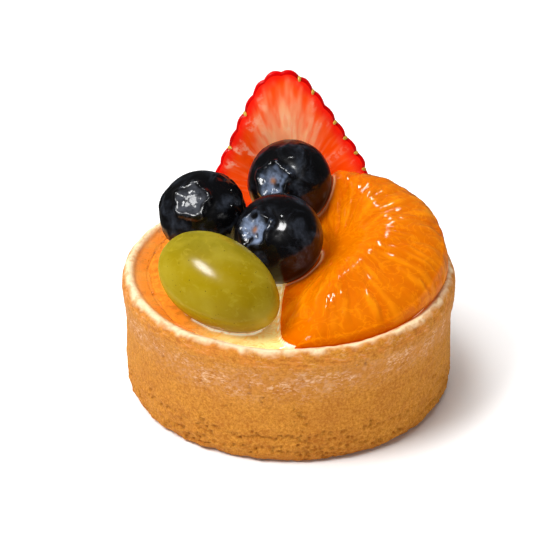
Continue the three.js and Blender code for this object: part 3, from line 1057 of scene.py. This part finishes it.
def mandarin_finish(s):
    finish = Finish(
        "mandarin_flesh",
        roughness=0.3,
        subsurface_weight=0.4,
        subsurface_radius=(0.005, 0.002, 0.0003),
        coat_weight=1.0,
        coat_roughness=0.05,
        coat_ior=GLAZE_IOR,
        specular_ior_level=0.0,
        emission_strength=0.25,
    )
    mask, grain = finish.mask, finish.grain
    web = grain(2.8, 2, 0.5, distortion=1.2)
    tint = finish.coats(
        s.flesh,
        (mask("bright") * 0.45, s.bright),
        (mask("deep") * 0.2, s.deep),
        (grain(3.4, 3, 0.6).eased(0.45, 0.8) * 0.14, s.deep),
        (web.eased(0.45, 0.5) * web.eased(0.55, 0.5) * 0.3, s.bright),
        (mask("shade") * 0.3, s.deep),
        # Painted shade: darker next to the berries, where they shade the segment
        (mask("near") * 0.85, s.deep),
        # Painted highlight: a pale line where the glaze climbs the berries
        (mask("glaze") * 0.75, s.glaze),
        (mask("edge") * grain(2.2, 3).eased(0.25, 0.6) * 0.1, s.membrane),
    )
    # Painted light: the flesh glows in its own colour, which lifts its shade as light through it
    # would
    finish.wear(base_color=tint, emission_color=tint, coat_weight=mask("thick"))
    finish.bumps(grain(1.3, 2, 0.5, distortion=0.8), 0.06, 0.5)
    return finish.material


# --- The strawberry slice ---

SLICE_COLUMNS = 480
FRONT_ROWS, RIM_ROWS, BACK_ROWS = 84, 26, 34
# Where the rim starts and ends, from 0 in the middle of the front to 2 in the middle of the back
RIM = (0.62, 1.38)
# Height up the slice, and half its width there, as shares
SLICE_STATIONS = [(1, 0), (0.98, 0.16), (0.94, 0.27), (0.87, 0.38), (0.8, 0.465), (0.67, 0.61)]
SLICE_STATIONS += [(0.53, 0.75), (0.39, 0.905), (0.24, 1), (0.13, 0.92), (0.04, 0.68)]
SLICE_STATIONS += [(0, 0.4), (0, 0)]
# Rows of the slice's surface that bear seeds, their offset, and how many for each notch
SEED_ROWS = [(91, 0, 1), (112, 0.5, 1), (118, 0, 0.8)]
SEED_ROWS += [(124, 0.5, 0.6), (130, 0, 0.4), (135, 0.5, 0.2)]
# Half of a seed's width, depth and length, and how deep it sits
SEED_HALVES = (0.36, 0.22, 0.64)
SEED_SUNK = 0.12
# Height that the cut face's fibres fan out from, and its pale core's middle, half width and
# half height
RAYS_FROM = 4
CORE_MIDDLE = 11.5
CORE_HALVES = (6.6, 14.5)


def slice_outline(s, count):
    """The outline's points, evenly spaced from the slice's point, clockwise seen from the front."""
    right = [(width * mm(s.half_width), height * mm(s.length)) for height, width in SLICE_STATIONS]
    loop = [*right, *((-x, z) for x, z in right[-2:0:-1])]
    p = np.array([loop[-1], *loop, loop[0], loop[1]])
    fine = np.vstack([curve_points(p, [40] * len(loop)), p[1:2]])
    steps = np.concatenate([[0], np.cumsum(np.linalg.norm(np.diff(fine, axis=0), axis=1))])
    even = np.arange(count) / count * steps[-1]
    points = np.stack([np.interp(even, steps, fine[:, i]) for i in range(2)], -1)
    return points, steps[-1]


def slice_shell(s):
    """The slice's rings and masks, and the shells of its seeds."""
    edge, around_length = slice_outline(s, SLICE_COLUMNS)
    scallops = round(around_length / mm(s.scallop))
    bulge = np.abs(np.sin(0.5 * scallops * all_round(SLICE_COLUMNS)))
    front, back = np.linspace(0, RIM[0], FRONT_ROWS), np.linspace(RIM[1], 2, BACK_ROWS)
    t = np.concatenate([front, np.linspace(*RIM, RIM_ROWS)[1:-1], back])[:, None] * (math.pi / 2)
    out = np.abs(np.sin(t)) ** 0.5
    depth = np.where(t < math.pi / 2, -np.abs(np.cos(t)) ** 0.4, 2 * np.abs(np.cos(t)))
    out, depth = (np.broadcast_to(v, (len(t), SLICE_COLUMNS)) for v in (out, depth))
    share = out + out**5 * (bulge - 1) * mm(s.scallop_depth) / mm(s.half_width)
    third = mm(s.thickness) / 3
    x = share * edge[:, 0]
    z = lerp(0.4 * mm(s.length), edge[:, 1], share)
    rings = np.stack([x, third + depth * third, z], -1)
    inset = np.min([np.hypot(x - ex, z - ez) for ex, ez in edge[::4]], axis=0)
    ray, far = np.arctan2(x, z - RAYS_FROM), np.hypot(x, z - RAYS_FROM)
    rays = noise(np.stack([9 * ray, far / 5, 0 * x], -1), 1, 5, 3)
    threads = noise(np.stack([24 * ray, far / 3, 0 * x], -1), 1, 15, 2)
    core = np.hypot(x / CORE_HALVES[0], (z - CORE_MIDDLE) / CORE_HALVES[1])
    core = core - 0.2 * rays - 0.12 * threads
    cut = 0.12 * rays * ease(inset, 0.8, 3) + 0.06 * noise(rings, 1.6, 9, 2)
    cut = np.where(np.abs(depth) > 0.7, cut, 0.03 * noise(rings, 1.2, 11, 2))
    rings = raised(rings, cut - 0.1)
    seeds = seed_shells(rings, scallops)
    away = np.min([np.linalg.norm(rings - middle, axis=-1) for middle, _ in seeds], axis=0)
    pocket = hill(away, 0, 0.8)
    skin = ease(depth, 0.3, 1.2) * (0.1 * noise(rings, 3, 13, 2) - 0.1)
    rings = raised(rings, skin - 0.3 * pocket)
    streaks = ease(rays, 0.12, 0.45) * ease(inset, 0.9, 2)
    masks = {
        "inset": inset * (depth < -0.7),
        "streaks": streaks * (0.35 + 0.65 * ease(-x, 4, 8)),
        "core": 1 - ease(core, 0.5, 1.15),
        "rays": ease(rays, -0.3, 0.4),
        "pale_threads": ease(threads, 0.05, 0.5),
        "red_threads": ease(-threads, 0.05, 0.5),
        "notch": hill(bulge, 0, 0.3) * (1 - ease(inset, 0.1, 0.7)),
        "pocket": pocket,
    }
    turning = Euler((-s.lean_back, -s.lean_left, 0), "ZYX").to_matrix()
    at = mm(s.at)
    shells = [(placed(seed, turning, at), {}) for _, seed in seeds]
    return placed(rings, turning, at), masks, shells


def strawberry_finish(s):
    finish = Finish(
        "strawberry_flesh",
        roughness=0.32,
        subsurface_weight=0.3,
        subsurface_radius=(0.004, 0.001, 0.0006),
        coat_weight=0.3,
        coat_roughness=0.12,
        coat_ior=GLAZE_IOR,
        specular_ior_level=0.1,
        emission_strength=0.15,
    )
    mask, grain = finish.mask, finish.grain
    ripe_and_shade = darker(s.skin, 0.55)
    skin = finish.mix(grain(4, 4, 0.6).eased(0.4, 0.65) * 0.6, s.skin, ripe_and_shade)
    # Painted shade: the skin is darker round the seeds' pockets, on top of its own darker patches
    skin = finish.mix(mask("pocket") * 0.5, skin, ripe_and_shade)
    inset = mask("inset") + (grain(2.2, 3) - 0.5) * 1.2
    within = inset.eased(0.8, 2.4)
    flesh = finish.mix(inset.eased(1.1, 3.4), s.blush, s.flesh)
    streaks = mask("streaks") * grain(1.1, 3, 0.6).eased(0.42, 0.6)
    tint = finish.coats(
        skin,
        (inset.eased(0.1, 0.9), flesh),
        (mask("rays") * within * 0.06, s.core),
        (mask("core") * within * (0.7 + 0.3 * mask("rays")), s.core),
        (streaks * within * 0.6, s.streaks),
        (mask("pale_threads") * within * 0.1, s.core),
        (mask("red_threads") * within * 0.25, flesh),
        # Painted shade in the notches of the rim
        (mask("notch") * 0.7, ripe_and_shade),
    )
    # Painted light: the slice glows in its own colour, which brightens its shaded face
    finish.wear(base_color=tint, emission_color=tint)
    finish.bumps(grain(0.7, 3, 0.6), 0.06, 0.6)
    return finish.material


def seed_shells(rings, scallops):
    """Seeds' middles and shells: one in most notches of the rim, and rows over the skin behind."""
    normals = outward(rings)
    height, share, angle = sphere_grid(8, 12)
    columns = rings.shape[1]
    half_width, half_depth, half_length = SEED_HALVES
    seeds = []
    for row, offset, share_of_notches in SEED_ROWS:
        count = max(round(scallops * share_of_notches), 3)
        for k in range(count):
            index = round((k + offset) * columns / count) % columns
            middle, up = rings[row, index], normals[row, index]
            missing = lattice(np.array([row, k, 7]), 3) > 0.35
            if middle[2] < 3 or missing:
                continue
            along = rings[row + 1, index] - rings[row - 1, index]
            along = unit(along - up * (along @ up))
            wide = half_width * np.cos(angle)[..., None] * np.cross(up, along)
            deep = half_depth * np.sin(angle)[..., None] * up
            tall = (half_length * height * (1 - 0.25 * height))[..., None] * along
            body = share[..., None] * (wide + deep) + tall
            seeds.append((middle, middle - SEED_SUNK * up + body))
    return seeds


def seed_finish(s):
    finish = Finish("strawberry_seed", roughness=0.35, coat_weight=0.6, coat_roughness=0.1)
    finish.wear(base_color=finish.mix(finish.grain(0.6, 2), s.seed, darker(s.seed, 0.6)))
    return finish.material


# --- The stage ---

# What the lights face, and half of the floor's side, in metres
TART_MIDDLE = Vector((0, 0, 0.025))
FLOOR_HALF = 3.0


def light(name, towards, distance, size, power, shine=True, pieces=None):
    """An area light that faces the tart, from an azimuth and elevation in degrees.

    One without shine lights the tart but isn't mirrored in its glaze. One with a list of
    pieces lights only those.
    """
    azimuth, elevation = (math.radians(a) for a in towards)
    flat = math.cos(elevation)
    back = Vector((math.sin(azimuth) * flat, -math.cos(azimuth) * flat, math.sin(elevation)))
    lamp = bpy.data.lights.new(name, "AREA")
    lamp.shape, lamp.size, lamp.size_y = "ELLIPSE", *size
    lamp.energy = power
    made = bpy.data.objects.new(name, lamp)
    made.visible_glossy = shine
    made.location = TART_MIDDLE + back * distance
    made.rotation_euler = (-back).to_track_quat("-Z", "Y").to_euler()
    bpy.context.scene.collection.objects.link(made)
    if pieces:
        lit = bpy.data.collections.new(name + "_pieces")
        for key in pieces:
            lit.objects.link(bpy.data.objects[key])
        made.light_linking.receiver_collection = lit


def set_lights(s, pieces):
    berries = [key for key in pieces if key.startswith("dark_")]
    light("main_light", (-125, 54), 1.3, (1.2, 1.0), s.main_power, shine=False)
    light("back_light", (180, 66), 1.3, (1.4, 1.0), s.back_power, shine=False)
    light("soft_light", (-50, 62), 1.3, (0.8, 0.8), s.soft_power, shine=False)
    light("floor_light", (-75, 74), 1.3, (0.5, 0.5), s.floor_power, shine=False, pieces=["floor"])
    light("key_light", (-70, 52), 1.2, (0.58, 0.32), s.key_power)
    light("fill_light", (40, 13), 1.3, (0.8, 0.5), s.fill_power, shine=False, pieces=pieces)
    light("front_light", (-6, 58), 1.2, (0.42, 0.5), s.front_power, pieces=berries)
    light("glint_light", (163, 50), 1.2, (0.07, 0.5), s.glint_power, pieces=["mandarin_segment"])
    world = bpy.data.worlds.new("room")
    world.use_nodes = True
    room = world.node_tree.nodes["Background"].inputs
    room["Color"].default_value = (1, 1, 1, 1)
    room["Strength"].default_value = s.world
    bpy.context.scene.world = world


def floor_finish(s):
    white = (1, 1, 1, 1)
    finish = Finish("pale_floor", roughness=0.9, specular_ior_level=0.1)
    finish.wear(emission_color=white, emission_strength=0.05)
    tint = finish.mix(finish.grain(30, 2) * 0.01, s.floor, (0.9, 0.9, 0.9, 1))
    finish.wear(base_color=tint)
    return finish.material


def set_camera(s):
    scene = bpy.context.scene
    camera = bpy.data.cameras.new("camera")
    camera.sensor_width = 36
    camera.lens = camera.sensor_width / 2 / math.tan(s.view_angle / 2)
    camera.clip_start, camera.clip_end = 0.01, 20
    made = bpy.data.objects.new("camera", camera)
    back = Vector((0, -math.cos(s.elevation), math.sin(s.elevation)))
    made.location = Vector(s.look_at) + back * s.distance
    made.rotation_euler = (math.pi / 2 - s.elevation, 0, 0)
    scene.collection.objects.link(made)
    scene.camera = made


# --- Operators ---


class TART_OT_case(Operator):
    """Bake the pastry case"""

    bl_idname = "tart.case"
    bl_label = "Bake the case"
    bl_options = {"REGISTER", "UNDO"}

    def execute(self, context):
        tart = context.scene.fruit_tart
        shell = case_shell(tart.case, tart.custard)
        piece("pastry_case", [shell], pastry_finish(tart.case), "crust")
        return {"FINISHED"}


class TART_OT_custard(Operator):
    """Pour the custard and its glaze"""

    bl_idname = "tart.custard"
    bl_label = "Pour the custard"
    bl_options = {"REGISTER", "UNDO"}

    def execute(self, context):
        tart = context.scene.fruit_tart
        finish = custard_finish(tart.custard, tart.case, tart.mandarin)
        piece("custard_filling", [custard_shell(tart)], finish, "custard")
        return {"FINISHED"}


class TART_OT_grape(Operator):
    """Lay the grape on its side"""

    bl_idname = "tart.grape"
    bl_label = "Lay the grape"
    bl_options = {"REGISTER", "UNDO"}

    def execute(self, context):
        s = context.scene.fruit_tart.grape
        piece("green_grape", [grape_shell(s)], grape_finish(s), "grape")
        return {"FINISHED"}


class TART_OT_berries(Operator):
    """Set the three dark berries"""

    bl_idname = "tart.berries"
    bl_label = "Set the berries"
    bl_options = {"REGISTER", "UNDO"}

    def execute(self, context):
        s = context.scene.fruit_tart.berries
        finish = berry_finish(s)
        # How creased the skin is, how pale the crown's disc is, and how grey
        looks = ((0.3, 1.0, 0), (1.4, 0.8, 1), (0.45, 0.7, 0))
        for i, (node, at, radius, crown) in enumerate(berry_list(s)):
            shell = berry_shell(s, at, radius, crown, 20 * i + 3, *looks[i])
            piece("dark_" + node, [shell], finish, node)
        return {"FINISHED"}


class TART_OT_mandarin(Operator):
    """Lay the mandarin segment"""

    bl_idname = "tart.mandarin"
    bl_label = "Lay the mandarin"
    bl_options = {"REGISTER", "UNDO"}

    def execute(self, context):
        tart = context.scene.fruit_tart
        finish = mandarin_finish(tart.mandarin)
        piece("mandarin_segment", [mandarin_shell(tart)], finish, "mandarin")
        return {"FINISHED"}


class TART_OT_strawberry(Operator):
    """Stand the strawberry slice at the back, with its seeds"""

    bl_idname = "tart.strawberry"
    bl_label = "Stand the strawberry"
    bl_options = {"REGISTER", "UNDO"}

    def execute(self, context):
        s = context.scene.fruit_tart.strawberry
        rings, masks, seeds = slice_shell(s)
        finish = strawberry_finish(s)
        piece("strawberry_slice", [(rings, masks)], finish, "strawberry")
        piece("strawberry_seeds", seeds, seed_finish(s))
        return {"FINISHED"}


class TART_OT_stage(Operator):
    """Set the floor, the lights and the camera"""

    bl_idname = "tart.stage"
    bl_label = "Set the stage"
    bl_options = {"REGISTER", "UNDO"}

    def execute(self, context):
        s = context.scene.fruit_tart.stage
        pieces = [made.name for made in bpy.data.objects if made.type == "MESH"]
        half = FLOOR_HALF
        corners = [(-half, -half, 0), (half, -half, 0), (half, half, 0), (-half, half, 0)]
        mesh = bpy.data.meshes.new("floor")
        mesh.from_pydata(corners, [], [(0, 1, 2, 3)])
        mesh.materials.append(floor_finish(s))
        floor = bpy.data.objects.new("floor", mesh)
        context.scene.collection.objects.link(floor)
        floor.visible_glossy = False
        set_lights(s, pieces)
        context.scene.view_settings.view_transform = "Standard"
        set_camera(s)
        return {"FINISHED"}


class TART_PT_panel(Panel):
    """Lists the tart's pieces in the 3D view's sidebar"""

    bl_idname = "TART_PT_panel"
    bl_label = "Fruit tart"
    bl_space_type = "VIEW_3D"
    bl_region_type = "UI"
    bl_category = "Fruit tart"

    def draw(self, context):
        tart = context.scene.fruit_tart
        for operator, group in PARTS:
            box = self.layout.box()
            box.operator(operator.bl_idname)
            settings = getattr(tart, group)
            for key in settings.__annotations__:
                box.prop(settings, key)


PARTS = [
    (TART_OT_case, "case"),
    (TART_OT_custard, "custard"),
    (TART_OT_grape, "grape"),
    (TART_OT_berries, "berries"),
    (TART_OT_mandarin, "mandarin"),
    (TART_OT_strawberry, "strawberry"),
    (TART_OT_stage, "stage"),
]

CLASSES = [CaseSettings, CustardSettings, GrapeSettings, BerrySettings, MandarinSettings]
CLASSES += [StrawberrySettings, StageSettings, TartSettings]
CLASSES += [*(operator for operator, _ in PARTS), TART_PT_panel]


def register():
    for cls in CLASSES:
        bpy.utils.register_class(cls)
    bpy.types.Scene.fruit_tart = PointerProperty(type=TartSettings)


def unregister():
    del bpy.types.Scene.fruit_tart
    for cls in reversed(CLASSES):
        bpy.utils.unregister_class(cls)


def main():
    register()
    for operator, _ in PARTS:
        family, name = operator.bl_idname.split(".")
        getattr(getattr(bpy.ops, family), name)()


if __name__ == "__main__":
    main()
